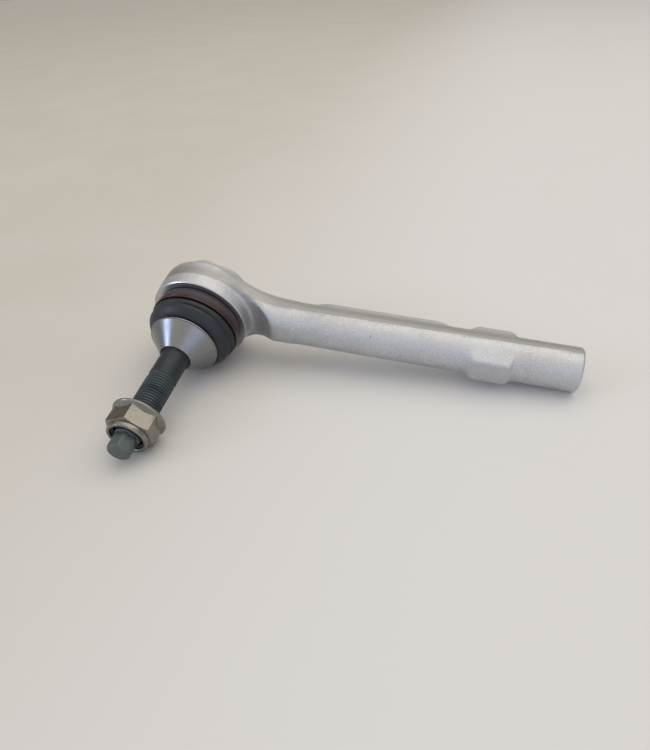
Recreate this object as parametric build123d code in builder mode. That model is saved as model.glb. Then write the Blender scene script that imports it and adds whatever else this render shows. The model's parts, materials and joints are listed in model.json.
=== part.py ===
"""Outer tie rod end: forged aluminium housing with a ball stud, dust boot, seat cone and flange nut.

Frame, in millimetres: the origin is the ball's centre, +X runs along the rod to its threaded end,
-Y is the axis of the housing's head and +Z is up. At rest the stud hangs 4 degrees above -Y.
"""

import os
from math import acos, atan2, cos, radians, sin, sqrt, tan

from build123d import *

# ---- driving dimensions -------------------------------------------------------------------------

# head of the housing, along the head's axis (front is -Y)
head_r = 25.8
head_crown_r = 26.1
head_crown_at = 1.9
head_front = 8.6
head_back = 9.5
head_edge = 0.8
neck_ring_r = 20.3
neck_ring_front = 16.8
boot_groove_at = 14.8
boot_groove_width = 3.4
boot_groove_depth = 0.9
boss_r = 20.0
boss_back = 15.5
boss_edge = 1.8

# ball joint inside the head
ball_r = 12.0
bore_r = 15.2
shell_front = 8.6
shell_lip = 6.0
shell_split = 4.0
cap_back = 11.8
plate_front = 12.9
plate_thickness = 1.8
plate_r = 16.6
plate_recess_r, plate_recess_floor_r, plate_recess = 9.0, 7.5, 0.6
rolled_lip_r = 14.6
swing = 28.0
running = 0.05
free_gap = 0.15

# rod of the housing
tube_r = 10.95
tube_end = 193.3
tube_from = 53.9
tube_edge = 1.0
shoulder_fillet = 1.2
drill_point_angle = 31.0
thread_core_r = 6.19
thread_mouth = 2.0
thread_depth = 62.0
wrench_flats = 24.0
wrench_corner_up = 6.9
wrench_from, wrench_to = 139.5, 162.6
wrench_ramp_in, wrench_ramp_out = 4.6, 3.0
pad_from, pad_to = 60.5, 129.5
pad_ramp = 4.5
pad_height = 12.0
pad_half_width = 6.8
pad_foot = tube_r - 1.2
pad_root = tube_r - 4.0
relief_r = 22.0
relief_x, relief_y = 22.0, -23.0
forging_fillet = 1.5
wrench_edge_r = 1.0
pad_edge_r = 0.8

# stud, measured from the ball's centre along the stud
stud_tilt = 4.0
waist_r = 6.0
waist_to = 17.5
stud_collar_r = 7.0
stud_collar_from = 21.5
ball_flat = 10.4
shank_r = 7.03
seat_r = 7.5
flange_r = 9.5
flange_from, flange_to = 26.9, 28.9
seat_to = 39.6
shank_to = 54.5
thread_r = 7.0
thread_from, thread_to = 55.7, 90.2
thread_relief = 0.6
thread_lead_out = 1.2
drive_flats = 10.0
drive_angle = 44.0
drive_tip_bevel = 0.9
stud_to = 99.0

# seat cone
cone_big_r, cone_small_r = 17.9, 8.3
cone_from, cone_to = 28.3, 39.4
cone_rim = 0.9
cone_edge = 0.4
cone_mouth_edge = 0.4

# flange nut
nut_from, nut_to = 77.7, 91.0
nut_flats = 21.0
nut_angle = 34.0
nut_flange_r = 13.0
nut_flange_edge = 0.5
nut_flange_rim = 1.2
nut_corner_round = 1.0
nut_bore_r = 7.05
hex_body_from, hex_body_to = 80.4, 88.7
collar_r, collar_mouth_r = 9.9, 8.1
collar_round = 0.8
insert_from, insert_to = 87.2, 89.6
insert_r = 8.65

# dust boot
boot_r = 22.6
boot_wall = 1.8
bulge_r = 29.6
boot_neck_from, boot_neck_to = 23.6, 26.7
clip_wire = 1.1
clip_width = 2.6
clip_corner_r = 0.9
neck_wire = 1.5

os.makedirs("parts", exist_ok=True)

# ---- working planes -----------------------------------------------------------------------------

stud_dir = Vector(0, -cos(radians(stud_tilt)), sin(radians(stud_tilt)))
origin = (0, 0, 0)
# profiles: local X is the radius, local Y the distance along the axis
head_profile = Plane(origin=origin, x_dir=(1, 0, 0), z_dir=(0, 0, -1))
head_axis = Axis(origin, (0, -1, 0))
stud_profile = Plane(origin=origin, x_dir=(1, 0, 0), z_dir=Vector(1, 0, 0).cross(stud_dir))
stud_axis = Axis(origin, tuple(stud_dir))


def across_stud(distance, turn=0.0):
    """Plane square to the stud, its local X turned from straight up towards +X."""
    up = Vector(0, sin(radians(stud_tilt)), cos(radians(stud_tilt)))
    x_dir = up * cos(radians(turn)) + Vector(1, 0, 0) * sin(radians(turn))
    return Plane(origin=tuple(stud_dir * distance), x_dir=tuple(x_dir), z_dir=tuple(stud_dir))


def mouth_radius(distance):
    """Radius the swinging stud's waist needs at this distance in front of the ball's centre."""
    return distance * tan(radians(swing)) + waist_r / cos(radians(swing)) + 0.4


def on_sphere(radius, distance):
    """Radius of a sphere about the ball's centre, cut at this distance from the centre."""
    return sqrt(radius**2 - distance**2)


def from_rod_axis(edge):
    return sqrt(edge.center().Y ** 2 + edge.center().Z ** 2)


def along_wrench_flats(edge):
    return wrench_from - 0.5 < edge.center().X < wrench_to + 0.5


def on_wrench_corner(edge):
    return along_wrench_flats(edge) and from_rod_axis(edge) > tube_r + 0.5


def on_pad_top(edge):
    return pad_from < edge.center().X < pad_to and edge.center().Y > pad_height - 0.05


def at_neck_front(edge):
    """Front edges where the neck meets the head's side."""
    middle = edge.center()
    return (
        edge.geom_type != GeomType.CIRCLE
        and 5 < middle.X < head_r + 1
        and middle.Y <= 0
        and abs(middle.Z) > 8
    )


def save(part, name):
    part.label = name
    export_step(part, f"parts/{name}.step")


# ---- housing: one forging, bored and threaded ---------------------------------------------------

# neck sections: x, front y, back y, half height, corner radius
neck_sections = (
    (8.0, -8.2, 9.0, 24.0, 5.0),
    (20.0, -8.8, 9.6, 19.4, 6.0),
    (27.0, -9.6, 10.2, 15.0, 7.0),
    (34.0, -10.2, 10.8, 12.3, 8.4),
    (42.0, -10.7, 11.0, 11.2, 9.6),
    (54.0, -tube_r, tube_r, tube_r, tube_r - 0.05),
)

wrench_corner_r = sqrt((wrench_flats / 2) ** 2 + wrench_corner_up**2)
wrench_corner_angle = atan2(wrench_corner_up, wrench_flats / 2)
tangent_angle = wrench_corner_angle + acos(tube_r / wrench_corner_r)
wrench_quarter = (
    (wrench_flats / 2, wrench_corner_up),
    (tube_r * cos(tangent_angle), tube_r * sin(tangent_angle)),
)
wrench_section = (
    list(wrench_quarter)
    + [(-y, z) for y, z in reversed(wrench_quarter)]
    + [(-y, -z) for y, z in wrench_quarter]
    + [(y, -z) for y, z in reversed(wrench_quarter)]
)

with BuildPart() as neck:
    for x, front, back, half, corner in neck_sections:
        with BuildSketch(Plane(origin=(x, (front + back) / 2, 0), x_dir=(0, 1, 0), z_dir=(1, 0, 0))):
            RectangleRounded(back - front, 2 * half, corner)
    loft()
    with BuildSketch(Plane.XY.offset(-head_r)):
        with Locations((relief_x, relief_y)):
            Circle(relief_r)
    extrude(amount=2 * head_r, mode=Mode.SUBTRACT)
    shoulder = neck.edges().filter_by(lambda e: e.center().X > 34 and e.center().Y < -5)
    fillet(shoulder.sort_by(Axis.X)[-1], shoulder_fillet)

with BuildPart() as housing:
    with BuildSketch(head_profile):
        with BuildLine():
            Polyline(
                (0, neck_ring_front),
                (neck_ring_r, neck_ring_front),
                (neck_ring_r, boot_groove_at + boot_groove_width / 2),
                (neck_ring_r - boot_groove_depth, boot_groove_at + boot_groove_width / 2),
                (neck_ring_r - boot_groove_depth, boot_groove_at - boot_groove_width / 2),
                (neck_ring_r, boot_groove_at - boot_groove_width / 2),
                (neck_ring_r, head_front),
                (head_r - head_edge, head_front),
                (head_r, head_front - head_edge),
                (head_crown_r, head_crown_at),
                (head_r, -head_back + 3 * head_edge),
                (head_r - head_edge, -head_back + head_edge),
                (head_r - 3 * head_edge, -head_back),
                (boss_r, -head_back),
                (boss_r, -boss_back + boss_edge),
                (boss_r - boss_edge, -boss_back),
                (0, -boss_back),
                close=True,
            )
        make_face()
    revolve(axis=head_axis)
    add(neck.part)
    # rod
    with BuildSketch(Plane.YZ.offset(tube_from)):
        Circle(tube_r)
    extrude(amount=tube_end - tube_from)
    # identification pad on the back of the rod
    with BuildSketch(Plane.XY.offset(-pad_half_width)):
        with BuildLine():
            Polyline(
                (pad_from, pad_root),
                (pad_from, pad_foot),
                (pad_from + pad_ramp, pad_height),
                (pad_to - pad_ramp, pad_height),
                (pad_to, pad_foot),
                (pad_to, pad_root),
                close=True,
            )
        make_face()
    extrude(amount=2 * pad_half_width)
    # wrench flats front and back, their corners joined to the rod by tangent faces
    with BuildPart(mode=Mode.PRIVATE) as wrench_block:
        with BuildSketch(Plane.YZ.offset(wrench_from)):
            Polygon(*wrench_section, align=None)
        extrude(amount=wrench_to - wrench_from)
        with BuildSketch(Plane.XY):
            with BuildLine():
                Polyline(
                    (wrench_from, 0),
                    (wrench_from, tube_r - 0.2),
                    (wrench_from + wrench_ramp_in, wrench_corner_r),
                    (wrench_to - wrench_ramp_out, wrench_corner_r),
                    (wrench_to, tube_r - 0.2),
                    (wrench_to, 0),
                    close=True,
                )
            make_face()
        revolve(axis=Axis.X, mode=Mode.INTERSECT)
    add(wrench_block.part)
    chamfer(housing.edges().filter_by(GeomType.CIRCLE).sort_by(Axis.X)[-1], tube_edge)
    # forged corners: wrench flats, pad, and the neck where it leaves the head
    fillet(housing.edges().filter_by(GeomType.LINE).filter_by(on_wrench_corner), wrench_edge_r)
    fillet(housing.edges().filter_by(on_pad_top), pad_edge_r)
    fillet(housing.edges().filter_by(at_neck_front), forging_fillet)
    # bore for the ball joint, open at the back, with the swing mouth at the front
    with BuildSketch(head_profile):
        with BuildLine():
            Polyline(
                (0, neck_ring_front + 1),
                (mouth_radius(neck_ring_front + 1), neck_ring_front + 1),
                (mouth_radius(shell_front), shell_front),
                (bore_r, shell_front),
                (bore_r, -plate_front),
                (plate_r, -plate_front),
                (plate_r, -plate_front - plate_thickness),
                (rolled_lip_r, -plate_front - plate_thickness),
                (rolled_lip_r, -boss_back - 1),
                (0, -boss_back - 1),
                close=True,
            )
        make_face()
    revolve(axis=head_axis, mode=Mode.SUBTRACT)
    # threaded hole for the rod, at its core diameter, with a drilled point
    with BuildSketch(Plane.XZ):
        with BuildLine():
            Polyline(
                (tube_end, 0),
                (tube_end, thread_core_r + thread_mouth),
                (tube_end - thread_mouth, thread_core_r),
                (tube_end - thread_depth, thread_core_r),
                (tube_end - thread_depth - thread_core_r * tan(radians(drill_point_angle)), 0),
                close=True,
            )
        make_face()
    revolve(axis=Axis.X, mode=Mode.SUBTRACT)
save(housing.part, "housing")

# ---- ball joint inside the head -----------------------------------------------------------------

socket_r = ball_r + running
with BuildPart() as bearing_shell:
    with BuildSketch(head_profile):
        with BuildLine():
            ThreePointArc(
                (on_sphere(socket_r, shell_lip), shell_lip),
                (socket_r, 0),
                (on_sphere(socket_r, shell_split), -shell_split),
            )
            Polyline(
                (on_sphere(socket_r, shell_split), -shell_split),
                (bore_r - running, -shell_split),
                (bore_r - running, shell_front),
                (mouth_radius(shell_front) + 0.1, shell_front),
                (on_sphere(socket_r, shell_lip), shell_lip),
            )
        make_face()
    revolve(axis=head_axis)
save(bearing_shell.part, "bearing_shell")

cap_hole_r = 4.6
with BuildPart() as pressure_cap:
    cap_from = shell_split + 0.1
    cap_pole = sqrt(socket_r**2 - cap_hole_r**2)
    cap_mid = socket_r * sin(radians(45))
    with BuildSketch(head_profile):
        with BuildLine():
            ThreePointArc(
                (on_sphere(socket_r, cap_from), -cap_from),
                (cap_mid, -cap_mid),
                (cap_hole_r, -cap_pole),
            )
            Polyline(
                (cap_hole_r, -cap_pole),
                (cap_hole_r, -cap_back),
                (bore_r - running, -cap_back),
                (bore_r - running, -cap_from),
                (on_sphere(socket_r, cap_from), -cap_from),
            )
        make_face()
    revolve(axis=head_axis)
save(pressure_cap.part, "pressure_cap")

spring_thickness = 0.7
spring_inner_r, spring_outer_r = 7.0, bore_r - 0.5
with BuildPart() as preload_spring:
    with BuildSketch(head_profile):
        with BuildLine():
            Polyline(
                (spring_outer_r, -cap_back),
                (spring_outer_r, -cap_back - spring_thickness),
                (spring_inner_r, -plate_front),
                (spring_inner_r, -plate_front + spring_thickness),
                close=True,
            )
        make_face()
    revolve(axis=head_axis)
save(preload_spring.part, "preload_spring")

with BuildPart() as closing_plate:
    with BuildSketch(head_profile):
        with BuildLine():
            Polyline(
                (0, -plate_front),
                (plate_r - running, -plate_front),
                (plate_r - running, -plate_front - plate_thickness),
                (plate_recess_r, -plate_front - plate_thickness),
                (plate_recess_floor_r, -plate_front - plate_thickness + plate_recess),
                (0, -plate_front - plate_thickness + plate_recess),
                close=True,
            )
        make_face()
    revolve(axis=head_axis)
save(closing_plate.part, "closing_plate")

# ---- dust boot and its two rings ----------------------------------------------------------------

clip_seat_r = boot_r - 1.3
clip_centre_r = clip_seat_r + clip_wire + running
with BuildPart() as boot_clamp_ring:
    with BuildSketch(head_profile):
        with Locations((clip_centre_r, boot_groove_at)):
            RectangleRounded(2 * clip_wire, clip_width, clip_corner_r)
    revolve(axis=head_axis)
save(boot_clamp_ring.part, "boot_clamp_ring")

boot_inner_r = neck_ring_r + free_gap
bulge_inner_r = bulge_r - boot_wall
bulge_at = 18.6
fold_at = 21.5
collar_from = head_front + free_gap
collar_to = neck_ring_front + 0.55
clip_channel = 2.9
with BuildPart() as boot_collar:
    with BuildSketch(head_profile):
        with BuildLine():
            Polyline(
                (on_sphere(bulge_inner_r, fold_at), fold_at),
                (on_sphere(bulge_inner_r, bulge_at), bulge_at),
                (boot_inner_r, collar_to),
                (boot_inner_r, collar_from),
                (boot_r, collar_from),
                (boot_r, boot_groove_at - clip_channel / 2),
                (clip_seat_r, boot_groove_at - clip_channel / 2),
                (clip_seat_r, boot_groove_at + clip_channel / 2),
                (boot_r, boot_groove_at + clip_channel / 2),
                (on_sphere(bulge_r, bulge_at), bulge_at),
                (on_sphere(bulge_r, fold_at), fold_at),
                close=True,
            )
        make_face()
    revolve(axis=head_axis)

boot_lip_r = stud_collar_r + free_gap
boot_lip_outer_r = 9.0
clip_on_lip = 1.1
with BuildPart() as dust_boot:
    with BuildSketch(stud_profile):
        with BuildLine():
            Polyline(
                (on_sphere(bulge_inner_r, 20.0), 20.0),
                (on_sphere(bulge_r, 20.0), 20.0),
                (21.4, 22.2),
                (19.6, 25.0),
                (17.0, 27.4),
                (14.5, 27.9),
                (10.2, 27.9),
                (9.8, boot_neck_to),
                (boot_lip_r, boot_neck_to),
                (boot_lip_r, boot_neck_from),
                (boot_lip_outer_r, boot_neck_from),
                (boot_lip_outer_r, 25.9),
                (13.4, 26.1),
                (16.0, 25.6),
                (18.0, 23.6),
                close=True,
            )
        make_face()
    revolve(axis=stud_axis)
    add(boot_collar.part)
save(dust_boot.part, "dust_boot")

with BuildPart() as boot_neck_ring:
    with BuildSketch(stud_profile):
        with Locations((boot_lip_outer_r + free_gap + neck_wire / 2, boot_neck_from + clip_on_lip)):
            Circle(neck_wire / 2)
    revolve(axis=stud_axis)
save(boot_neck_ring.part, "boot_neck_ring")

# ---- stud group ---------------------------------------------------------------------------------

flat_r = sqrt(ball_r**2 - ball_flat**2)
waist_at = sqrt(ball_r**2 - waist_r**2)
drive_corner_r = drive_flats / sqrt(3)
with BuildPart() as ball_stud:
    with BuildSketch(stud_profile):
        with BuildLine():
            ThreePointArc((flat_r, -ball_flat), (ball_r, 0), (waist_r, waist_at))
            Polyline(
                (waist_r, waist_at),
                (waist_r, waist_to),
                (stud_collar_r, stud_collar_from),
                (stud_collar_r, flange_from),
                (flange_r, flange_from),
                (flange_r, flange_to),
                (seat_r, flange_to),
                (seat_r, seat_to),
                (shank_r, seat_to),
                (shank_r, shank_to),
                (shank_r - thread_relief, shank_to + 0.5),
                (shank_r - thread_relief, thread_from - 0.3),
                (thread_r, thread_from),
                (thread_r, thread_to - thread_lead_out),
                (drive_corner_r, thread_to),
                (0, thread_to),
                (0, -ball_flat),
                (flat_r, -ball_flat),
            )
        make_face()
    revolve(axis=stud_axis)
    # hexagonal drive on the end, with its corners bevelled at the tip
    with BuildPart(mode=Mode.PRIVATE) as drive_hex:
        with BuildSketch(across_stud(thread_to, drive_angle)):
            RegularPolygon(radius=drive_flats / 2, side_count=6, major_radius=False, rotation=30)
        extrude(amount=stud_to - thread_to)
        with BuildSketch(stud_profile):
            with BuildLine():
                Polyline(
                    (0, thread_to),
                    (drive_corner_r, thread_to),
                    (drive_corner_r, stud_to - drive_tip_bevel),
                    (drive_flats / 2 - 0.6, stud_to),
                    (0, stud_to),
                    close=True,
                )
            make_face()
        revolve(axis=stud_axis, mode=Mode.INTERSECT)
    add(drive_hex.part)
save(ball_stud.part, "ball_stud")

with BuildPart() as seat_cone:
    with BuildSketch(stud_profile):
        with BuildLine():
            Polyline(
                (flange_r + 0.1, cone_from),
                (cone_big_r - cone_edge, cone_from),
                (cone_big_r, cone_from + cone_edge),
                (cone_big_r, cone_from + cone_rim),
                (cone_small_r, cone_to),
                (seat_r + cone_mouth_edge, cone_to),
                (seat_r + running, cone_to - 2 * cone_mouth_edge),
                (seat_r + running, flange_to),
                (flange_r + 0.1, flange_to),
                close=True,
            )
        make_face()
    revolve(axis=stud_axis)
save(seat_cone.part, "seat_cone")

# ---- flange nut with its locking insert ---------------------------------------------------------

nut_corner_r = nut_flats / sqrt(3)
with BuildPart() as flange_nut:
    with BuildSketch(across_stud(hex_body_from, nut_angle)) as nut_hex:
        RegularPolygon(radius=nut_flats / 2, side_count=6, major_radius=False, rotation=30)
        fillet(nut_hex.vertices(), nut_corner_round)
    extrude(amount=hex_body_to - hex_body_from)
    with BuildSketch(stud_profile):
        with BuildLine():
            Polyline(
                (0, hex_body_from),
                (nut_corner_r, hex_body_from),
                (nut_corner_r, hex_body_to - 1.1),
                (collar_r + 0.1, hex_body_to),
                (0, hex_body_to),
                close=True,
            )
        make_face()
    revolve(axis=stud_axis, mode=Mode.INTERSECT)
    with BuildSketch(stud_profile):
        with BuildLine():
            Polyline(
                (0, nut_from),
                (nut_flange_r - nut_flange_edge, nut_from),
                (nut_flange_r, nut_from + nut_flange_edge),
                (nut_flange_r, nut_from + nut_flange_rim),
                (nut_flats / 2 + 0.2, hex_body_from + 0.6),
                (nut_flats / 2 - 1.0, hex_body_from + 0.6),
                (nut_flats / 2 - 1.0, hex_body_to - 0.6),
                (collar_r, hex_body_to - 0.6),
                (collar_r, nut_to - collar_round),
                (collar_r - collar_round / 3, nut_to - collar_round / 3),
                (collar_r - collar_round, nut_to),
                (0, nut_to),
                close=True,
            )
        make_face()
    revolve(axis=stud_axis)
    with BuildSketch(stud_profile):
        with BuildLine():
            Polyline(
                (0, nut_from - 1),
                (nut_bore_r + 1.0, nut_from - 1),
                (nut_bore_r + 1.0, nut_from),
                (nut_bore_r, nut_from + 0.9),
                (nut_bore_r, insert_from),
                (insert_r + running, insert_from),
                (insert_r + running, insert_to + running),
                (collar_mouth_r, insert_to + running),
                (collar_mouth_r, nut_to + 1),
                (0, nut_to + 1),
                close=True,
            )
        make_face()
    revolve(axis=stud_axis, mode=Mode.SUBTRACT)
save(flange_nut.part, "flange_nut")

with BuildPart() as lock_insert:
    with BuildSketch(stud_profile):
        with BuildLine():
            Polyline(
                (nut_bore_r, insert_from + running),
                (insert_r, insert_from + running),
                (insert_r, insert_to),
                (nut_bore_r, insert_to),
                close=True,
            )
        make_face()
    revolve(axis=stud_axis)
save(lock_insert.part, "lock_insert")
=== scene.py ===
"""Outer tie rod end: the turned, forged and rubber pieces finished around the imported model.

Metres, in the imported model's frame: the origin is the ball's centre, +X runs along the rod to its
threaded end, -Y is the head's axis on the stud side and +Z is up. Profiles are written in
millimetres as (radius, distance from the ball's centre) along the head's or the stud's axis.
"""

import json
from math import cos, pi, radians, sin, sqrt

import bpy
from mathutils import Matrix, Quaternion, Vector


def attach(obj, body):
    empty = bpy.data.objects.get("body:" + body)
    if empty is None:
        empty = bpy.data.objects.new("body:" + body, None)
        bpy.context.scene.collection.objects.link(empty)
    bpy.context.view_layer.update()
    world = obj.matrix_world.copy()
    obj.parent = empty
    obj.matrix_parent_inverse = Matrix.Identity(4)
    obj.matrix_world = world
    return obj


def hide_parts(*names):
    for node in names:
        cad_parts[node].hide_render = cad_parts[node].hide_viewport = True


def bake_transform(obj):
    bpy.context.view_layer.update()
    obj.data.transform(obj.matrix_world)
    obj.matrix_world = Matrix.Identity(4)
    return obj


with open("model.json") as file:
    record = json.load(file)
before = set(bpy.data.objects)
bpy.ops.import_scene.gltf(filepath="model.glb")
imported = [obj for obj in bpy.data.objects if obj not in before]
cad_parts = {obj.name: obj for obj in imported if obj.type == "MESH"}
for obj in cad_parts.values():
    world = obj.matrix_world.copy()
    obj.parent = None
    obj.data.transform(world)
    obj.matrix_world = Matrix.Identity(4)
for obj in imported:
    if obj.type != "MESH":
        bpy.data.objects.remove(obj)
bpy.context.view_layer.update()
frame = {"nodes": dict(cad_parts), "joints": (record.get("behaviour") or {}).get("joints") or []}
nodes = frame["nodes"]

MM = 0.001
head_dir = Vector((0, -1, 0))
stud_dir = Vector(next(j["axis"] for j in frame["joints"] if j["name"] == "stud_spin"))
stud_tilt = head_dir.angle(stud_dir)
round_steps = 128
merge_gap = 0.002 * MM

# ---- dimensions, in millimetres -----------------------------------------------------------------

# rod and head
tube_r = 10.95
tube_end = 193.3
head_r = 25.8
head_front = 8.6
front_face_r = 25.3
boss_back = 15.5
parting_y = -1.9
parting_end_y = 0.4
parting_slope = (parting_end_y - parting_y) / tube_end
neck_ring_r = 20.3
neck_ring_front = 16.8
mouth_r = 16.1
throat_r = 11.8
bore_r = 15.2
plate_seat_r = 16.6
plate_window_r = 14.6

# thread M14 x 1.5, on the stud and in the rod
pitch = 1.5
crest_r = 7.0
root_r = 6.08
crest_flat = pitch / 8
root_flat = pitch / 4
stud_thread = (55.2, 90.2)
rod_thread = (131.5, tube_end)
drill_r = 6.19
drill_tip = 127.6
rod_mouth_r = 8.19

# stud
drive_flats = 10.0
drive_blank_r = 5.55
drive_turn = 44.0
stud_end = 98.98

# nut
nut_flats = 21.0
nut_turn = 34.0
nut_flange_r = 13.0
nut_bore_r = 7.1

# boot: its crown stands on the stud, and its seam lies across the upper lobe
crown_from = 24.0
boot_lean = 7.0
boot_seam = 22.0


# ---- modelling helpers --------------------------------------------------------------------------


def only(obj):
    """Selects this object and nothing else, and makes it the active one."""
    if bpy.context.mode != "OBJECT":
        bpy.ops.object.mode_set(mode="OBJECT")
    bpy.ops.object.select_all(action="DESELECT")
    obj.select_set(True)
    bpy.context.view_layer.objects.active = obj


def edit(obj, select="SELECT"):
    """Opens this object for editing, with all of its mesh selected or none."""
    only(obj)
    bpy.ops.object.mode_set(mode="EDIT")
    bpy.ops.mesh.select_all(action=select)


def finish_shape(obj, smooth=30.0):
    """Merges doubles, turns the faces outwards and smooths all but the sharp edges."""
    edit(obj)
    bpy.ops.mesh.remove_doubles(threshold=merge_gap)
    bpy.ops.mesh.normals_make_consistent(inside=False)
    bpy.ops.object.mode_set(mode="OBJECT")
    bpy.ops.object.shade_smooth_by_angle(angle=radians(smooth))


def apply(obj, kind, **settings):
    """Adds a modifier with these settings and applies it."""
    only(obj)
    modifier = obj.modifiers.new(kind.title(), kind)
    for name, value in settings.items():
        setattr(modifier, name, value)
    bpy.ops.object.modifier_apply(modifier=modifier.name)


def at(radius, distance):
    """The point of a profile in the plane Z = 0, with the axis along -Y."""
    return Vector((radius, -distance, 0)) * MM


def drawn(name, points):
    """A line drawn from point to point: one vertex, extruded along the profile."""
    bpy.ops.object.select_all(action="DESELECT")
    bpy.ops.mesh.primitive_plane_add(size=MM)
    line = bpy.context.object
    line.name = name
    bpy.ops.object.mode_set(mode="EDIT")
    bpy.ops.mesh.merge(type="CENTER")
    here = Vector((0, 0, 0))
    for count, (radius, distance) in enumerate(points):
        step = at(radius, distance) - here
        here = at(radius, distance)
        if count == 0:
            bpy.ops.transform.translate(value=step)
        else:
            bpy.ops.mesh.extrude_region_move(TRANSFORM_OT_translate={"value": step})
    bpy.ops.object.mode_set(mode="OBJECT")
    return line


def turned(name, profile, rounding=0.0, steps=round_steps):
    """A piece turned about -Y from a closed profile, with its edges broken by the rounding in mm."""
    touches_axis = profile[0][0] == 0 and profile[-1][0] == 0
    blank = drawn(name, profile if touches_axis else profile + [profile[0]])
    edit(blank)
    bpy.ops.mesh.remove_doubles(threshold=merge_gap)
    bpy.ops.mesh.spin(steps=steps, angle=2 * pi, center=(0, 0, 0), axis=head_dir)
    finish_shape(blank)
    if rounding:
        apply(
            blank,
            "BEVEL",
            width=rounding * MM,
            segments=3,
            limit_method="ANGLE",
            angle_limit=radians(25),
            use_clamp_overlap=True,
        )
    finish_shape(blank)
    return blank


def cut(obj, tool, operation, solver="EXACT"):
    """Joins, cuts or intersects the piece with a tool, which is used up."""
    apply(obj, "BOOLEAN", object=tool, operation=operation, solver=solver)
    bpy.data.objects.remove(tool)


def join(obj, *others):
    """Makes one piece of several, under the first one's name."""
    only(obj)
    for other in others:
        other.select_set(True)
    bpy.ops.object.join()


def prism(name, flats, start, end, turn):
    """A hexagonal bar along -Y, turned from straight up towards +X by an angle in degrees."""
    bpy.ops.object.select_all(action="DESELECT")
    bpy.ops.mesh.primitive_cylinder_add(
        vertices=6,
        radius=flats / sqrt(3) * MM,
        depth=(end - start) * MM,
        location=at(0, (start + end) / 2),
        rotation=(radians(90), 0, 0),
    )
    bar = bpy.context.object
    bar.name = name
    only(bar)
    bpy.ops.object.transform_apply(location=True, rotation=True, scale=True)
    # a corner of the primitive points straight up, and the turn is that of a flat
    turn_mesh(bar, (0, 1, 0), radians(turn + 30))
    return bar


def turn_mesh(obj, axis, angle):
    """Turns the mesh about an axis through the ball's centre and leaves the object unturned."""
    only(obj)
    obj.rotation_mode = "QUATERNION"
    obj.rotation_quaternion = Quaternion(axis, angle)
    bpy.ops.object.transform_apply(location=False, rotation=True, scale=False)


def hang_on_stud(obj):
    """Swings a piece made on the head's axis over to the stud's axis."""
    turn_mesh(obj, (1, 0, 0), -stud_tilt)


def thread(name, start, end, core_r=root_r, tip_r=crest_r):
    """A right-hand screw rib with a trapezoid tooth, rooted just under the core's surface."""
    half_root = (pitch - root_flat) / 2
    half_crest = crest_flat / 2
    slope = (half_root - half_crest) / (tip_r - core_r)
    sunk = 0.15
    turns = int((end - start) / pitch) - 1
    tooth = [
        (core_r - sunk, start - half_root - sunk * slope),
        (tip_r, start - half_crest),
        (tip_r, start + half_crest),
        (core_r - sunk, start + half_root + sunk * slope),
    ]
    rib = drawn(name, tooth + [tooth[0]])
    edit(rib)
    bpy.ops.mesh.remove_doubles(threshold=merge_gap)
    apply(
        rib,
        "SCREW",
        axis="Y",
        angle=-2 * pi,
        screw_offset=-pitch * MM,
        iterations=turns,
        steps=72,
        render_steps=72,
        use_merge_vertices=False,
    )
    edit(rib, "DESELECT")
    bpy.ops.mesh.select_non_manifold()
    bpy.ops.mesh.fill_holes(sides=0)
    finish_shape(rib, 20)
    return rib


def finished(obj, body, slot, *replaced):
    """Hands a piece over: the nodes it stands for and the body it rides on; its material slot is not used.
    """
    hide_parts(*replaced)
    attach(obj, body)
    return obj


# ---- ball stud ----------------------------------------------------------------------------------


def ball_stud():
    """One steel bar: ball, waist, collar, seat for the cone, shank, rolled thread and hexagon."""
    ball_r, waist_r, shank_r = 12.0, 6.0, 7.03
    ball_points = 14
    ball_from, ball_to = radians(-60), radians(60)
    angles = [ball_from + (ball_to - ball_from) * step / ball_points for step in range(ball_points + 1)]
    ball = [(ball_r * cos(angle), ball_r * sin(angle)) for angle in angles]
    stud = turned(
        "threaded_stud",
        [(0, ball[0][1])]
        + ball
        + [
            (waist_r, 17.5),
            (7.0, 21.5),
            (7.0, 26.9),
            (9.5, 26.9),
            (9.5, 28.9),
            (7.5, 28.9),
            (7.5, 39.3),
            (shank_r, 39.6),
            (shank_r, 54.2),
            (6.75, 54.5),
            (root_r, 55.4),
            (root_r, 90.2),
            (5.0, 90.9),
            (0, 90.9),
        ],
        rounding=0.15,
    )
    rib = thread("stud_thread_rib", *stud_thread)
    envelope = turned(
        "thread_envelope",
        [(0, 54.0), (6.4, 54.0), (6.4, 55.2), (crest_r, 56.4), (crest_r, 89.2), (5.9, 90.3), (0, 90.3)],
    )
    cut(rib, envelope, "INTERSECT")
    cut(stud, rib, "UNION")
    drive = turned(
        "drive_blank",
        [
            (0, 90.0),
            (drive_blank_r, 90.0),
            (drive_blank_r, 98.0),
            (drive_blank_r - 0.9, stud_end),
            (0, stud_end),
        ],
    )
    cut(drive, prism("drive_flats", drive_flats, 89.0, stud_end + 1, drive_turn), "INTERSECT")
    apply(
        drive,
        "BEVEL",
        width=0.2 * MM,
        segments=2,
        limit_method="ANGLE",
        angle_limit=radians(18),
    )
    cut(stud, drive, "UNION")
    finish_shape(stud, 32)
    hang_on_stud(stud)
    return finished(stud, "stud", "ball_stud", "ball_stud")


def seat_cone():
    """Turned steel cone that centres the stud in the knuckle."""
    cone = turned(
        "seat_cone_turned",
        [
            (9.6, 28.3),
            (17.5, 28.3),
            (17.9, 28.7),
            (17.9, 29.15),
            (17.75, 29.3),
            (17.4, 29.35),
            (8.3, 39.4),
            (7.9, 39.4),
            (7.55, 38.6),
            (7.55, 28.95),
            (9.6, 28.95),
        ],
        rounding=0.12,
        steps=192,
    )
    hang_on_stud(cone)
    return finished(cone, "stud", "seat_cone", "seat_cone")


# ---- flange nut ---------------------------------------------------------------------------------


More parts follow.
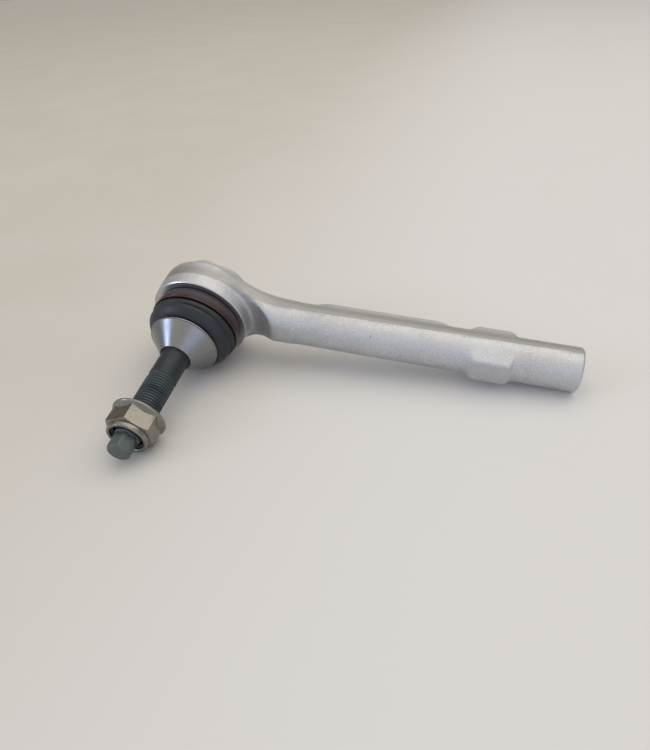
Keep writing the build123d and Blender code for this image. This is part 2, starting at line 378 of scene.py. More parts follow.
def flange_nut():
    """Hexagon nut on a thin conical flange, with a rolled collar round its locking insert."""
    body = prism("nut_body", nut_flats, 79.2, 88.7, nut_turn)
    apply(body, "BEVEL", width=0.5 * MM, segments=3, limit_method="ANGLE", angle_limit=radians(50))
    corners = turned(
        "nut_corners",
        [(0, 79.0), (12.6, 79.0), (12.6, 86.9), (12.1, 87.6), (9.9, 88.6), (0, 88.6)],
    )
    cut(body, corners, "INTERSECT")
    flange = turned(
        "flange_nut_rolled",
        [
            (7.9, 77.7),
            (12.5, 77.7),
            (12.95, 78.1),
            (nut_flange_r, 78.6),
            (12.7, 79.1),
            (12.0, 79.5),
            (10.7, 80.6),
            (9.6, 81.2),
            (9.6, 88.1),
            (9.85, 88.6),
            (9.9, 90.1),
            (9.65, 90.75),
            (9.2, 91.0),
            (8.5, 90.9),
            (8.15, 90.5),
            (8.15, 89.7),
            (8.75, 89.65),
            (8.75, 87.15),
            (nut_bore_r, 87.15),
            (nut_bore_r, 78.5),
        ],
        rounding=0.1,
    )
    cut(flange, body, "UNION")
    core = turned(
        "nut_bore",
        [(0, 76), (nut_bore_r, 76), (nut_bore_r, 87.2), (8.7, 87.2), (8.7, 89.6), (0, 89.6)],
    )
    cut(flange, core, "DIFFERENCE")
    finish_shape(flange, 32)
    hang_on_stud(flange)
    return finished(flange, "nut", "flange_nut", "flange_nut")


def lock_insert():
    """Polyamide ring held by the nut's rolled collar."""
    ring = turned(
        "nut_insert_ring",
        [(7.08, 87.25), (8.65, 87.25), (8.65, 89.6), (7.6, 89.6), (7.08, 89.2)],
        rounding=0.1,
    )
    hang_on_stud(ring)
    return finished(ring, "nut_slider", "lock_insert", "lock_insert")


# ---- dust boot ----------------------------------------------------------------------------------


def whole_boot():
    """The boot as moulded: lip, channel for the clamp ring, two lobes, crown and the stud's lip."""
    boot = turned(
        "boot_skirt",
        [
            (20.5, 8.8),
            (22.1, 8.8),
            (22.5, 9.1),
            (22.6, 9.8),
            (22.6, 12.4),
            (22.2, 13.1),
            (21.3, 13.4),
            (21.3, 16.2),
            (22.2, 16.5),
            (22.7, 17.2),
            (22.8, 18.2),
            (22.4, 19.2),
            (21.6, 19.9),
            (20.8, 20.4),
            (21.4, 20.9),
            (21.8, 21.6),
            (21.9, 22.4),
            (21.5, 23.4),
            (20.6, 24.6),
            (19.6, 25.7),
            (18.3, 26.8),
            (16.8, 27.6),
            (14.5, 27.9),
            (10.6, 27.9),
            (9.9, 27.6),
            (9.7, 26.9),
            (7.2, 26.7),
            (7.2, 23.6),
            (9.0, 23.6),
            (9.0, 25.8),
            (10.6, 26.2),
            (14.0, 26.2),
            (16.0, 25.8),
            (17.6, 24.9),
            (19.0, 23.6),
            (19.7, 22.2),
            (19.4, 20.6),
            (20.3, 19.0),
            (20.45, 17.2),
        ],
    )
    apply(boot, "SUBSURF", levels=1, render_levels=1)
    # the crown stands square to the stud, and the lobes lean over towards it
    edit(boot, "DESELECT")
    bpy.ops.object.mode_set(mode="OBJECT")
    for vertex in boot.data.vertices:
        vertex.select = -vertex.co.y > crown_from * MM
    bpy.ops.object.mode_set(mode="EDIT")
    bpy.ops.transform.rotate(
        value=stud_tilt,
        orient_axis="X",
        center_override=(0, 0, 0),
        use_proportional_edit=True,
        proportional_edit_falloff="SMOOTH",
        proportional_size=boot_lean * MM,
    )
    bpy.ops.object.mode_set(mode="OBJECT")
    return boot


def boot_halves():
    """The boot parted across the stud into the skirt and the crown, each closed over the cut."""
    skirt = whole_boot()
    crown = skirt.copy()
    crown.data = skirt.data.copy()
    crown.name = "boot_crown"
    bpy.context.collection.objects.link(crown)
    for half, above in ((skirt, True), (crown, False)):
        edit(half)
        bpy.ops.mesh.bisect(
            plane_co=stud_dir * boot_seam * MM,
            plane_no=stud_dir,
            use_fill=True,
            clear_outer=above,
            clear_inner=not above,
        )
        finish_shape(half, 60)
    return skirt, crown


# ---- rings and socket parts ---------------------------------------------------------------------


def clamp_ring():
    """Flat wire wound round the boot's channel, drawn as three closed turns."""
    wire, gap = 0.78, 0.08
    inner, outer, crown = 21.45, 23.2, 0.12
    channel_from = 13.6
    ring = None
    for count in range(3):
        start = channel_from + count * (wire + gap)
        turn = turned(
            f"clamp_turn_{count}",
            [
                (inner, start),
                (outer, start),
                (outer + crown, start + wire / 2),
                (outer, start + wire),
                (inner, start + wire),
            ],
            rounding=0.16,
        )
        if ring is None:
            ring = turn
            ring.name = "clamp_ring_wound"
        else:
            join(ring, turn)
    finish_shape(ring, 40)
    return finished(ring, "housing", "boot_clamp_ring", "boot_clamp_ring")


def neck_ring():
    """Round wire ring that closes the boot's lip on the stud."""
    bpy.ops.object.select_all(action="DESELECT")
    bpy.ops.mesh.primitive_torus_add(
        major_radius=9.9 * MM,
        minor_radius=0.72 * MM,
        major_segments=96,
        minor_segments=16,
        location=at(0, 24.7),
        rotation=(radians(90), 0, 0),
    )
    ring = bpy.context.object
    ring.name = "neck_ring_wire"
    only(ring)
    bpy.ops.object.transform_apply(location=True, rotation=True, scale=True)
    # the wire's ends meet in a small gap below
    half_gap = 0.3 * MM
    edit(ring)
    for side in (half_gap, -half_gap):
        bpy.ops.mesh.select_all(action="SELECT")
        bpy.ops.mesh.bisect(plane_co=(side, 0, 0), plane_no=(1, 0, 0))
    bpy.ops.mesh.select_all(action="DESELECT")
    bpy.ops.object.mode_set(mode="OBJECT")
    for face in ring.data.polygons:
        face.select = abs(face.center.x) < half_gap and face.center.z < 0
    bpy.ops.object.mode_set(mode="EDIT")
    bpy.ops.mesh.delete(type="FACE")
    bpy.ops.mesh.select_all(action="DESELECT")
    bpy.ops.mesh.select_non_manifold()
    bpy.ops.mesh.fill_holes(sides=0)
    finish_shape(ring, 50)
    hang_on_stud(ring)
    return finished(ring, "boot_neck", "boot_neck_ring", "boot_neck_ring")


# ---- forged housing -----------------------------------------------------------------------------


def along_rod(obj):
    """Swings a piece made on the head's axis over to the rod's axis."""
    turn_mesh(obj, (0, 0, 1), radians(90))
    return obj


def forging():
    """The blank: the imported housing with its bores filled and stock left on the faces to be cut."""
    blank = bpy.data.objects.new("forged_housing", nodes["housing"].data.copy())
    bpy.context.collection.objects.link(blank)
    edit(blank)
    bpy.ops.mesh.customdata_custom_splitnormals_clear()
    bpy.ops.mesh.remove_doubles(threshold=merge_gap)
    bpy.ops.object.mode_set(mode="OBJECT")
    stock = 1.0
    blank_r, boss_r = 25.7, 19.9
    boss_root, boss_top = -14, -17
    head_stock = turned(
        "head_stock",
        [
            (0, neck_ring_front + stock),
            (18, neck_ring_front + stock),
            (blank_r, head_front + stock),
            (blank_r, 0),
            (boss_r, boss_root),
            (boss_r, boss_top),
            (0, boss_top),
        ],
    )
    plug_from, plug_full = 120, 180
    rod_stock = turned(
        "rod_stock",
        [
            (0, plug_from),
            (tube_r - 0.4, plug_from),
            (tube_r, plug_full),
            (tube_r, tube_end + 2 * stock),
            (0, tube_end + 2 * stock),
        ],
    )
    join(blank, head_stock, along_rod(rod_stock))
    apply(blank, "REMESH", mode="VOXEL", voxel_size=0.6 * MM, use_smooth_shade=True)
    # forged corners run soft, most of all on the neck and round the pad
    softest = blank.vertex_groups.new(name="softest")
    neck_from, neck_to, pad_to = 8, 56, 134
    pad_side = 5
    for vertex in blank.data.vertices:
        along = vertex.co.x / MM
        on_neck = min((along - neck_from) / 8, (neck_to - along) / 14)
        on_pad = min((along - neck_to) / 2, (pad_to - along) / 2, vertex.co.y / MM - pad_side)
        weight = min(max(on_neck, on_pad, 0), 1)
        if weight > 0:
            softest.add([vertex.index], weight, "REPLACE")
    apply(blank, "SMOOTH", factor=0.5, iterations=12)
    apply(blank, "SMOOTH", factor=0.5, iterations=50, vertex_group="softest")
    return blank


def raise_parting_line(blank):
    """Flash left by the dies: a low ridge above and below, from the head's edge to the rod's end."""
    ridge_half, ridge_foot, ridge_height = 0.45, 0.8, 0.16
    ridge_from, ridge_to = 24, tube_end - 0.5
    clear_of_axis = 9.5
    normal = Vector((-parting_slope, 1, 0)).normalized()
    on_plane = Vector((0, parting_y, 0)) * MM
    edit(blank)
    for offset in (-ridge_foot, -ridge_half, ridge_half, ridge_foot):
        bpy.ops.mesh.select_all(action="SELECT")
        bpy.ops.mesh.bisect(plane_co=on_plane + normal * offset * MM, plane_no=normal)
    bpy.ops.mesh.select_all(action="DESELECT")
    bpy.ops.object.mode_set(mode="OBJECT")
    for vertex in blank.data.vertices:
        height = abs((vertex.co - on_plane).dot(normal))
        outside = abs(vertex.co.z) > clear_of_axis * MM and ridge_from * MM < vertex.co.x < ridge_to * MM
        vertex.select = height < (ridge_half + 0.05) * MM and outside
    bpy.ops.object.mode_set(mode="EDIT")
    bpy.ops.mesh.select_mode(type="VERT")
    bpy.ops.transform.shrink_fatten(value=ridge_height * MM)
    bpy.ops.object.mode_set(mode="OBJECT")


def forged_housing(aluminium, bored_head, bored_rod):
    """The forging faced, bored and tapped: neck ring and boot groove, socket bore, boss, rod thread."""
    housing = forging()
    raise_parting_line(housing)
    beyond, overrun = 30.0, 5
    groove_from, groove_to, groove_depth = 13.1, 16.5, 0.9
    seat_from, seat_to = -12.9, -14.7
    head_cutter = turned(
        "head_cutter",
        [
            (0, neck_ring_front + overrun),
            (beyond, neck_ring_front + overrun),
            (beyond, head_front - (beyond - front_face_r)),
            (front_face_r, head_front),
            (neck_ring_r, head_front),
            (neck_ring_r, groove_from),
            (neck_ring_r - groove_depth, groove_from),
            (neck_ring_r - groove_depth, groove_to),
            (neck_ring_r, groove_to),
            (neck_ring_r, neck_ring_front),
            (mouth_r, neck_ring_front),
            (throat_r, head_front),
            (bore_r, head_front),
            (bore_r, seat_from),
            (plate_seat_r, seat_from),
            (plate_seat_r, seat_to),
            (plate_window_r, seat_to),
            (plate_window_r, -boss_back),
            (beyond, -boss_back),
            (beyond, -boss_back - overrun),
            (0, -boss_back - overrun),
        ],
    )
    drill_shoulder, chamfer = 131.3, 1
    rod_cutter = turned(
        "rod_cutter",
        [
            (0, drill_tip),
            (drill_r, drill_shoulder),
            (drill_r, tube_end - 2),
            (rod_mouth_r, tube_end),
            (tube_r - chamfer, tube_end),
            (tube_r - chamfer + overrun, tube_end - overrun),
            (tube_r - chamfer + overrun, tube_end + overrun),
            (0, tube_end + overrun),
        ],
    )
    tap = thread("rod_tap", rod_thread[0] + pitch, rod_thread[1] + 2 * pitch, core_r=6.25, tip_r=7.05)
    for cutter in (head_cutter, along_rod(rod_cutter), along_rod(tap)):
        cut(housing, cutter, "DIFFERENCE", "MANIFOLD")
    finish_shape(housing, 30)
    apply(housing, "WEIGHTED_NORMAL", keep_sharp=True)
    # cut faces: the head's front, the bore, the boss face and the rod's end and thread
    housing.data.materials.clear()
    for metal in (aluminium, bored_head, bored_rod):
        housing.data.materials.append(metal)
    slack = 0.1
    for face in housing.data.polygons:
        middle = face.center / MM
        from_head_axis = sqrt(middle.x**2 + middle.z**2)
        from_rod_axis = sqrt(middle.y**2 + middle.z**2)
        faced = middle.y < slack - head_front
        broken_edge = face.normal.y < -0.6 and middle.y < -7.9
        front = from_head_axis < beyond and (faced or broken_edge)
        bore = from_head_axis < plate_seat_r + 2 * slack
        boss_face = middle.y > boss_back - slack
        rod_end = middle.x > tube_end - slack / 2
        in_rod = from_rod_axis < rod_mouth_r + 2 * slack and middle.x > drill_tip
        if front or bore or boss_face:
            face.material_index = 1
        if rod_end or in_rod:
            face.material_index = 2
    return finished(housing, "housing", "housing", "housing")


# ---- materials ----------------------------------------------------------------------------------


def hex_colour(code):
    """An sRGB hex colour as linear red, green, blue and alpha."""
    channels = [int(code[i : i + 2], 16) / 255 for i in (0, 2, 4)]
    linear = [c / 12.92 if c <= 0.04045 else ((c + 0.055) / 1.055) ** 2.4 for c in channels]
    return (*linear, 1.0)


def add(tree, kind, inputs=None, out=0, **settings):
    """Adds a node with its settings, sets or links its inputs, and gives one of its outputs."""
    new = tree.nodes.new("ShaderNode" + kind)
    for name, value in settings.items():
        setattr(new, name, value)
    for name, value in (inputs or {}).items():
        if isinstance(value, bpy.types.NodeSocket):
            tree.links.new(value, new.inputs[name])
        else:
            new.inputs[name].default_value = value
    return new.outputs[out] if new.outputs else None


def per_mm(size):
    """Noise scale whose features are this many millimetres across."""
    return 1 / (size * MM)


def new_material(name):
    material = bpy.data.materials.new(name)
    material.use_nodes = True
    material.node_tree.nodes.clear()
    return material, material.node_tree


# inputs and output of a Mix node that mixes colours
FACTOR, FIRST, SECOND, MIXED = 0, 6, 7, 2


def forged_aluminium():
    """Forged 6082 aluminium, shot blasted and then cut free of its flash: pale satin grey with a sandy
    grain, a darker band behind the parting line, partly the land left by the trimming and partly painted
    shade on the side turned away from the light, a few nicks, and faint stains where it was handled."""
    material, tree = new_material("forged_blasted_aluminium")
    place = add(tree, "TexCoord", out="Object")
    # blasting grit leaves pits of about 0.3 mm; drawn at 0.7 mm so that they show
    grit = add(tree, "TexNoise", {"Vector": place, "Scale": per_mm(0.7), "Detail": 5.0, "Roughness": 0.75})
    dents = add(tree, "TexNoise", {"Vector": place, "Scale": per_mm(3.5), "Detail": 3.0})
    stains = add(
        tree,
        "TexNoise",
        {"Vector": place, "Scale": per_mm(20.0), "Detail": 4.0, "Roughness": 0.6},
    )
    # nicks lie across the rod and are a millimetre or two long
    stretched = add(tree, "Mapping", {"Vector": place, "Scale": (1.0, 0.35, 0.35)})
    nicks = add(
        tree,
        "TexNoise",
        {"Vector": stretched, "Scale": per_mm(1.6), "Detail": 2.0, "Roughness": 0.4},
    )
    nicked = add(tree, "MapRange", {"Value": nicks, "From Min": 0.75, "From Max": 0.8})
    # the band behind the parting plane runs from the crown of the head to the rod's end; its darker colour
    # is partly the land left by the trimming and partly painted shade on the side turned away from the light
    y_place = add(tree, "SeparateXYZ", {"Vector": place}, out="Y")
    x_place = add(tree, "SeparateXYZ", {"Vector": place}, out="X")
    parting = add(
        tree,
        "Math",
        {0: x_place, 1: parting_slope, 2: parting_y * MM},
        operation="MULTIPLY_ADD",
    )
    behind = add(tree, "Math", {0: y_place, 1: parting}, operation="SUBTRACT")
    past_parting_line = add(tree, "MapRange", {"Value": behind, "From Min": -0.1 * MM, "From Max": 0.5 * MM})
    faded = add(tree, "MapRange", {"Value": behind, "From Min": 9.0 * MM, "From Max": 4.0 * MM})
    land_and_painted_shade = add(tree, "Math", {0: past_parting_line, 1: faded}, operation="MULTIPLY")
    stained = add(tree, "MapRange", {"Value": stains, "From Min": 0.42, "From Max": 0.68})
    sandy = add(tree, "MapRange", {"Value": grit, "From Min": 0.35, "From Max": 0.7})
    base = hex_colour("B9BDC3")
    # the third layer paints the band behind the parting line darker: partly the land left by the trimming,
    # partly painted shade
    for mask, tint in ((stained, "ADAEB0"), (sandy, "D8D8DA"), (land_and_painted_shade, "A9A8A7"), (nicked, "979A9F")):
        layers = {FACTOR: mask, FIRST: base, SECOND: hex_colour(tint)}
        base = add(tree, "Mix", layers, MIXED, data_type="RGBA")
    rough = add(
        tree,
        "MapRange",
        {"Value": dents, "From Min": 0.3, "From Max": 0.7, "To Min": 0.46, "To Max": 0.56},
    )
    waves = add(tree, "Bump", {"Height": dents, "Distance": 0.06 * MM, "Strength": 0.5})
    grain = add(tree, "Bump", {"Height": grit, "Distance": 0.2 * MM, "Strength": 1.0, "Normal": waves})
    knocks = add(
        tree,
        "Bump",
        {"Height": nicked, "Distance": 0.1 * MM, "Strength": 0.8, "Normal": grain},
        invert=True,
    )
    metal = {"Base Color": base, "Metallic": 1.0, "Roughness": rough, "Normal": knocks}
    add(tree, "OutputMaterial", {"Surface": add(tree, "BsdfPrincipled", metal)})
    return material


def turned_metal(name, light, dark, roughness, axis, depth=0.02, tilt=0.0):
    """Lathe-turned metal: fine tool marks about an axis, X for the rod and Y for the head and stud."""
    material, tree = new_material(name)
    place = add(tree, "TexCoord", out="Object")
    straight = add(tree, "Mapping", {"Vector": place, "Rotation": (tilt, 0, 0)})
    along = add(tree, "SeparateXYZ", {"Vector": straight}, out=axis)
    # along the axis and outwards from it, so that a flat face gets rings and a wall gets hoops
    flat = (0, 1, 1) if axis == "X" else (1, 0, 1)
    across = add(tree, "VectorMath", {0: straight, 1: flat}, operation="MULTIPLY")
    radius = add(tree, "VectorMath", {0: across}, "Value", operation="LENGTH")
    feed = add(tree, "Math", {0: along, 1: radius}, operation="ADD")
    rings = add(tree, "TexNoise", {"W": feed, "Scale": per_mm(0.45), "Detail": 3.0}, noise_dimensions="1D")
    blotch = add(tree, "TexNoise", {"Vector": place, "Scale": per_mm(5.0), "Detail": 4.0})
    ringed = add(tree, "MapRange", {"Value": rings, "From Min": 0.3, "From Max": 0.7})
    blotched = add(tree, "MapRange", {"Value": blotch, "From Min": 0.55, "From Max": 0.75})
    base = hex_colour(dark)
    for mask, tint in ((ringed, light), (blotched, dark)):
        layers = {FACTOR: mask, FIRST: base, SECOND: hex_colour(tint)}
        base = add(tree, "Mix", layers, MIXED, data_type="RGBA")
    rough = add(
        tree,
        "MapRange",
        {"Value": blotch, "From Min": 0.3, "From Max": 0.7, "To Min": roughness, "To Max": roughness + 0.08},
    )
    marks = add(tree, "Bump", {"Height": rings, "Distance": depth * MM, "Strength": 1.0})
    metal = {"Base Color": base, "Metallic": 1.0, "Roughness": rough, "Normal": marks}
    add(tree, "OutputMaterial", {"Surface": add(tree, "BsdfPrincipled", metal)})
    return material


def black_phosphate():
    """Manganese phosphate on steel, oiled: a dark grey-green crystal coat with a dull sheen, and the
    thread's crests painted lighter in patches, partly rubbed wear and partly painted highlight."""
    material, tree = new_material("black_phosphate_steel")
    place = add(tree, "TexCoord", out="Object")
    # crystals are a few hundredths of a millimetre; drawn at 0.3 mm so that they show
    crystal = add(
        tree,
        "TexNoise",
        {"Vector": place, "Scale": per_mm(0.3), "Detail": 4.0, "Roughness": 0.7},
    )
    cloud = add(tree, "TexNoise", {"Vector": place, "Scale": per_mm(6.0), "Detail": 3.0})
    # Y is flattened before the turn, so this is the distance from the head's axis
    flattened = add(
        tree,
        "Mapping",
        {"Vector": place, "Rotation": (stud_tilt, 0, 0), "Scale": (1.0, 0.0, 1.0)},
    )
    off_axis = add(tree, "VectorMath", {0: flattened}, "Value", operation="LENGTH")
    straight = add(tree, "Mapping", {"Vector": place, "Rotation": (stud_tilt, 0, 0)})
    along = add(tree, "SeparateXYZ", {"Vector": straight}, out="Y")
    clouded = add(tree, "MapRange", {"Value": cloud, "From Min": 0.35, "From Max": 0.7})
    raised = add(tree, "MapRange", {"Value": off_axis, "From Min": 6.7 * MM, "From Max": 6.98 * MM})
    patchy = add(tree, "MapRange", {"Value": cloud, "From Min": 0.2, "From Max": 0.5})
    threaded = add(tree, "MapRange", {"Value": along, "From Min": -54.6 * MM, "From Max": -55.4 * MM})
    # the thread's crests are painted lighter in patches: partly rubbed wear, partly painted highlight along
    # the crests
    crest_wear_and_highlight = add(tree, "Math", {0: raised, 1: patchy}, operation="MULTIPLY")
    crest_wear_and_highlight = add(tree, "Math", {0: crest_wear_and_highlight, 1: threaded}, operation="MULTIPLY")
    sparkle = add(tree, "MapRange", {"Value": crystal, "From Min": 0.45, "From Max": 0.75})
    # the wrench's hexagon is rubbed to a lighter grey
    drive = add(tree, "MapRange", {"Value": along, "From Min": -90.5 * MM, "From Max": -91.5 * MM})
    base = hex_colour("252B2E")
    for mask, tint in ((clouded, "2B3235"), (sparkle, "41484B"), (crest_wear_and_highlight, "545C60"), (drive, "5A6161")):
        layers = {FACTOR: mask, FIRST: base, SECOND: hex_colour(tint)}
        base = add(tree, "Mix", layers, MIXED, data_type="RGBA")
    rough = add(
        tree,
        "MapRange",
        {"Value": crystal, "From Min": 0.3, "From Max": 0.7, "To Min": 0.36, "To Max": 0.5},
    )
    grain = add(tree, "Bump", {"Height": crystal, "Distance": 0.03 * MM, "Strength": 0.6})
    coat = {"Base Color": base, "Metallic": 0.45, "Roughness": rough, "Normal": grain}
    add(tree, "OutputMaterial", {"Surface": add(tree, "BsdfPrincipled", coat)})
    return material


def boot_rubber():
    """Moulded chloroprene rubber: blue-black and satin, with a plum-brown lip where it is clamped."""
    material, tree = new_material("moulded_chloroprene_rubber")
    place = add(tree, "TexCoord", out="Object")
    skin = add(tree, "TexNoise", {"Vector": place, "Scale": per_mm(0.5), "Detail": 4.0})
    bloom = add(tree, "TexNoise", {"Vector": place, "Scale": per_mm(9.0), "Detail": 4.0, "Roughness": 0.6})
    along = add(tree, "SeparateXYZ", {"Vector": place}, out="Y")
    lip = add(tree, "MapRange", {"Value": along, "From Min": -14.2 * MM, "From Max": -13.4 * MM})
    bloomed = add(tree, "MapRange", {"Value": bloom, "From Min": 0.35, "From Max": 0.7})
    dusty = add(tree, "MapRange", {"Value": skin, "From Min": 0.55, "From Max": 0.8})
    base = hex_colour("0F151C")
    for mask, tint in ((bloomed, "172029"), (dusty, "222A33"), (lip, "3B3138")):
        layers = {FACTOR: mask, FIRST: base, SECOND: hex_colour(tint)}
        base = add(tree, "Mix", layers, MIXED, data_type="RGBA")
    rough = add(
        tree,
        "MapRange",
        {"Value": bloom, "From Min": 0.3, "From Max": 0.7, "To Min": 0.42, "To Max": 0.54},
    )
    grain = add(tree, "Bump", {"Height": skin, "Distance": 0.03 * MM, "Strength": 0.5})
    rubber = {
        "Base Color": base,
        "Roughness": rough,
        "Normal": grain,
        "IOR": 1.52,
        "Sheen Weight": 0.06,
        "Sheen Roughness": 0.4,
    }
    add(tree, "OutputMaterial", {"Surface": add(tree, "BsdfPrincipled", rubber)})
    return material


def red_lacquer():
    """Spring steel wire dipped in dark red lacquer: glossy, thicker in patches, with a few chips."""
    material, tree = new_material("dark_red_lacquered_spring_steel")
    place = add(tree, "TexCoord", out="Object")
    pull = add(tree, "TexNoise", {"Vector": place, "Scale": per_mm(2.5), "Detail": 3.0})
    chip = add(tree, "TexNoise", {"Vector": place, "Scale": per_mm(1.2), "Detail": 5.0, "Roughness": 0.7})
    thick = add(tree, "MapRange", {"Value": pull, "From Min": 0.35, "From Max": 0.7})
    chipped = add(tree, "MapRange", {"Value": chip, "From Min": 0.68, "From Max": 0.76})
    base = hex_colour("2A1519")
    for mask, tint in ((thick, "3E191F"), (chipped, "6A5856")):
        layers = {FACTOR: mask, FIRST: base, SECOND: hex_colour(tint)}
        base = add(tree, "Mix", layers, MIXED, data_type="RGBA")
    flow = add(tree, "Bump", {"Height": pull, "Distance": 0.04 * MM, "Strength": 0.5})
    lacquer = {
        "Base Color": base,
        "Metallic": 0.3,
        "Roughness": 0.3,
        "Normal": flow,
        "Coat Weight": 0.5,
        "Coat Roughness": 0.12,
    }
    add(tree, "OutputMaterial", {"Surface": add(tree, "BsdfPrincipled", lacquer)})
    return material


def moulded_plastic(name, light, dark, roughness, ior):
    """Injection moulded plastic: an even colour with slight flow marks and a fine skin."""
    material, tree = new_material(name)
    place = add(tree, "TexCoord", out="Object")
    flow = add(tree, "TexNoise", {"Vector": place, "Scale": per_mm(4.0), "Detail": 2.0, "Distortion": 1.0})
    skin = add(tree, "TexNoise", {"Vector": place, "Scale": per_mm(0.4), "Detail": 3.0})
    flowed = add(tree, "MapRange", {"Value": flow, "From Min": 0.35, "From Max": 0.65})
    flow_marks = {FACTOR: flowed, FIRST: hex_colour(dark), SECOND: hex_colour(light)}
    base = add(tree, "Mix", flow_marks, MIXED, data_type="RGBA")
    grain = add(tree, "Bump", {"Height": skin, "Distance": 0.02 * MM, "Strength": 0.4})
    plastic = {"Base Color": base, "Roughness": roughness, "IOR": ior, "Normal": grain}
    add(tree, "OutputMaterial", {"Surface": add(tree, "BsdfPrincipled", plastic)})
    return material


def plated_steel(name, light, dark, roughness, grain_mm=0.8):
    """Plated, barrel-tumbled steel: satin with soft cloudy patches and tiny knocks."""
    material, tree = new_material(name)
    place = add(tree, "TexCoord", out="Object")
    cloud = add(tree, "TexNoise", {"Vector": place, "Scale": per_mm(4.0), "Detail": 4.0, "Roughness": 0.6})
    knock = add(
        tree,
        "TexNoise",
        {"Vector": place, "Scale": per_mm(grain_mm), "Detail": 5.0, "Roughness": 0.6},
    )
    clouded = add(tree, "MapRange", {"Value": cloud, "From Min": 0.35, "From Max": 0.7})
    knocked = add(tree, "MapRange", {"Value": knock, "From Min": 0.6, "From Max": 0.8})
    base = hex_colour(dark)
    for mask, tint in ((clouded, light), (knocked, dark)):
        layers = {FACTOR: mask, FIRST: base, SECOND: hex_colour(tint)}
        base = add(tree, "Mix", layers, MIXED, data_type="RGBA")
    rough = add(
        tree,
        "MapRange",
        {"Value": cloud, "From Min": 0.3, "From Max": 0.7, "To Min": roughness, "To Max": roughness + 0.1},
    )
    dent = add(tree, "Bump", {"Height": knock, "Distance": 0.03 * MM, "Strength": 0.5})
    metal = {"Base Color": base, "Metallic": 1.0, "Roughness": rough, "Normal": dent}
    add(tree, "OutputMaterial", {"Surface": add(tree, "BsdfPrincipled", metal)})
    return material


def bench_top():
    """Painted bench: warm off-white with a faint mottling, and painted shade that darkens and warms it
    towards the left.
    """
    material, tree = new_material("painted_bench")
    place = add(tree, "TexCoord", out="Object")
    mottle = add(
        tree,
        "TexNoise",
        {"Vector": place, "Scale": per_mm(90.0), "Detail": 5.0, "Roughness": 0.55},
    )
    fine = add(tree, "TexNoise", {"Vector": place, "Scale": per_mm(1.5), "Detail": 3.0})
    mottled = add(tree, "MapRange", {"Value": mottle, "From Min": 0.4, "From Max": 0.8, "To Max": 0.3})
    across = add(tree, "SeparateXYZ", {"Vector": place}, out="X")
    # painted shade: darker and warmer towards the left, where less of the room's light falls
    painted_shade_falloff = add(
        tree,
        "MapRange",
        {"Value": across, "From Min": -0.25, "From Max": 0.1},
        interpolation_type="SMOOTHSTEP",
    )
    # the base colour is the painted shade on the left; the lighter tint is the bench's own colour on the
    # right
    base = hex_colour("C6C1B8")
    for mask, tint in ((painted_shade_falloff, "D8D7D6"), (mottled, "D6D3CF")):
        layers = {FACTOR: mask, FIRST: base, SECOND: hex_colour(tint)}
        base = add(tree, "Mix", layers, MIXED, data_type="RGBA")
    orange_peel = add(tree, "Bump", {"Height": fine, "Distance": 0.03 * MM, "Strength": 0.3})
    paint_coat = {"Base Color": base, "Roughness": 0.6, "Normal": orange_peel}
    add(tree, "OutputMaterial", {"Surface": add(tree, "BsdfPrincipled", paint_coat)})
    return material


def paint(obj, material):
    obj.data.materials.clear()
    obj.data.materials.append(material)


# ---- the object ---------------------------------------------------------------------------------

housing_metal = forged_aluminium()
head_metal = turned_metal("turned_aluminium_head", "CFD0D2", "BBBDC0", 0.3, "Y")
rod_metal = turned_metal("turned_aluminium_rod", "CFD0D2", "BBBDC0", 0.3, "X")
forged_housing(housing_metal, head_metal, rod_metal)

paint(ball_stud(), black_phosphate())
bright_steel = turned_metal("turned_bright_steel", "8F9092", "848587", 0.24, "Y", 0.004, stud_tilt)
paint(seat_cone(), bright_steel)
paint(flange_nut(), plated_steel("zinc_nickel_plated_steel", "939189", "85827B", 0.24))
paint(lock_insert(), moulded_plastic("black_polyamide", "23262A", "191B1E", 0.45, 1.53))
paint(clamp_ring(), red_lacquer())
paint(neck_ring(), plated_steel("drawn_spring_steel", "8D8F92", "66686B", 0.3, 0.5))

rubber = boot_rubber()
skirt, crown = boot_halves()
paint(skirt, rubber)
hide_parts("dust_boot")
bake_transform(skirt)

paint(crown, rubber)
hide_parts("dust_boot")
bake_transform(crown)

acetal = moulded_plastic("natural_acetal", "E8E6DC", "DAD7CB", 0.35, 1.48)
paint(nodes["bearing_shell"], acetal)
paint(nodes["pressure_cap"], acetal)
paint(nodes["preload_spring"], plated_steel("blued_spring_steel", "4A4F5E", "34384A", 0.3))
paint(nodes["closing_plate"], plated_steel("zinc_plated_steel", "B9BCC0", "989CA2", 0.3))

# ---- bench, light and camera --------------------------------------------------------------------

# the object lies on three points: the head's front edge, the rod's end and the nut's flange
flange_rim = 78.4
stud_up = Vector((0, sin(stud_tilt), cos(stud_tilt)))
nut_contact = (stud_dir * flange_rim - stud_up * nut_flange_r) * MM
edge_round, sunk = 0.4, 0.35
head_contact = Vector((0, -head_front, edge_round - head_r)) * MM
rod_contact = Vector((tube_end - 1, 0, -tube_r)) * MM
bench_up = (rod_contact - head_contact).cross(head_contact - nut_contact).normalized()
if bench_up.z < 0:
    bench_up = -bench_up
bench_middle = (nut_contact + head_contact + rod_contact) / 3
bpy.ops.object.select_all(action="DESELECT")
bpy.ops.mesh.primitive_plane_add(size=6.0)
bench = bpy.context.object
bench.name = "bench"
bench.rotation_mode = "QUATERNION"
bench.rotation_quaternion = Vector((0, 0, 1)).rotation_difference(bench_up)
bench.location = bench_middle - bench_up * sunk * MM
paint(bench, bench_top())

target = Vector((85, -20, 0)) * MM


def soft_light(name, direction, distance, size, power, colour):
    """A square soft box that shines at the object from a direction."""
    bpy.ops.object.light_add(type="AREA", location=target + Vector(direction).normalized() * distance)
    light = bpy.context.object
    light.name = name
    light.rotation_mode = "QUATERNION"
    light.rotation_quaternion = Vector(direction).to_track_quat("Z", "Y")
    light.data.size = size
    light.data.energy = power
    light.data.color = hex_colour(colour)[:3]


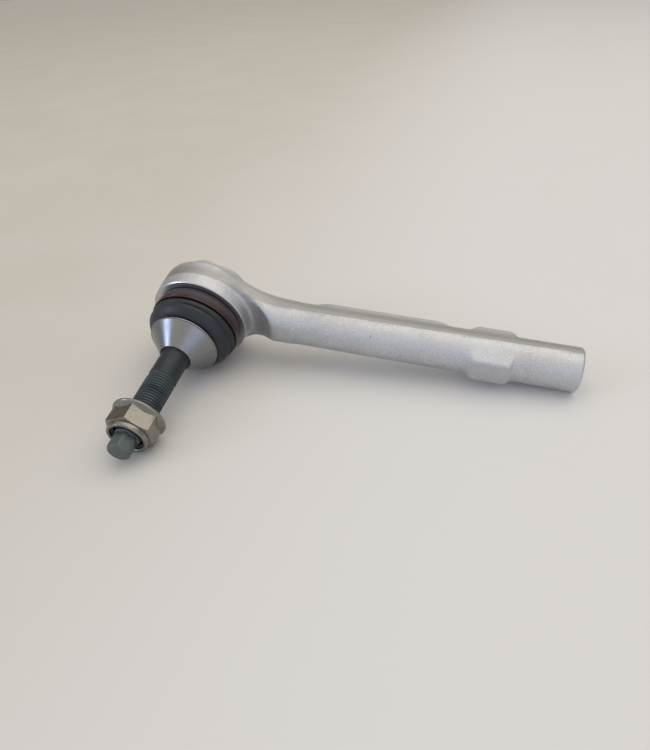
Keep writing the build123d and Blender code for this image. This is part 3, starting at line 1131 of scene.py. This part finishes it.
# each light's name, direction, distance and size in metres, power in watts and colour
soft_light("window", (-0.82, -0.40, 0.42), 1.4, 0.35, 2.8, "CFE0FF")
soft_light("ceiling", (0.15, 0.55, 0.95), 1.6, 1.8, 9.0, "FFF8EE")
soft_light("doorway", (0.65, 0.52, 0.55), 1.5, 0.5, 0.4, "FFF9F0")
soft_light("fill", (0.75, -0.7, 0.6), 1.8, 1.4, 4.0, "C8D6FF")

# the room: bright above, warm grey behind the object and cool in front of it
world = bpy.data.worlds.new("room")
bpy.context.scene.world = world
world.use_nodes = True
room = world.node_tree
room.nodes.clear()
direction = add(room, "TexCoord", out="Generated")
height = add(room, "SeparateXYZ", {"Vector": direction}, out="Z")
depth = add(room, "SeparateXYZ", {"Vector": direction}, out="Y")
in_front = add(
    room,
    "MapRange",
    {"Value": depth, "From Min": 0.5, "From Max": -0.5},
    interpolation_type="SMOOTHSTEP",
)
overhead = add(
    room,
    "MapRange",
    {"Value": height, "From Min": 0.1, "From Max": 0.85},
    interpolation_type="SMOOTHSTEP",
)
side = add(room, "SeparateXYZ", {"Vector": direction}, out="X")
to_left = add(
    room,
    "MapRange",
    {"Value": side, "From Min": -0.3, "From Max": -0.85},
    interpolation_type="SMOOTHSTEP",
)
walls = hex_colour("B0AAA3")
for mask, tint in ((to_left, "8A827A"), (in_front, "AEB8C9"), (overhead, "E4E0DA")):
    layers = {FACTOR: mask, FIRST: walls, SECOND: hex_colour(tint)}
    walls = add(room, "Mix", layers, MIXED, data_type="RGBA")
backdrop = add(room, "Background", {"Color": walls, "Strength": 1.05})
add(room, "OutputWorld", {"Surface": backdrop})

camera_at = Vector((132.3, -204.8, 227.9)) * MM
camera_azimuth, camera_elevation, camera_roll = radians(18.18), radians(51.18), radians(-3.93)
looking_back = Vector(
    (
        sin(camera_azimuth) * cos(camera_elevation),
        -cos(camera_azimuth) * cos(camera_elevation),
        sin(camera_elevation),
    )
)
bpy.ops.object.camera_add(location=camera_at)
camera = bpy.context.object
camera.rotation_mode = "QUATERNION"
camera.rotation_quaternion = looking_back.to_track_quat("Z", "Y") @ Quaternion((0, 0, 1), camera_roll)
camera.data.sensor_width = 36.0
camera.data.lens = 28.8
camera.data.clip_start = 0.01
bpy.context.scene.camera = camera
bpy.context.scene.view_settings.view_transform = "Standard"
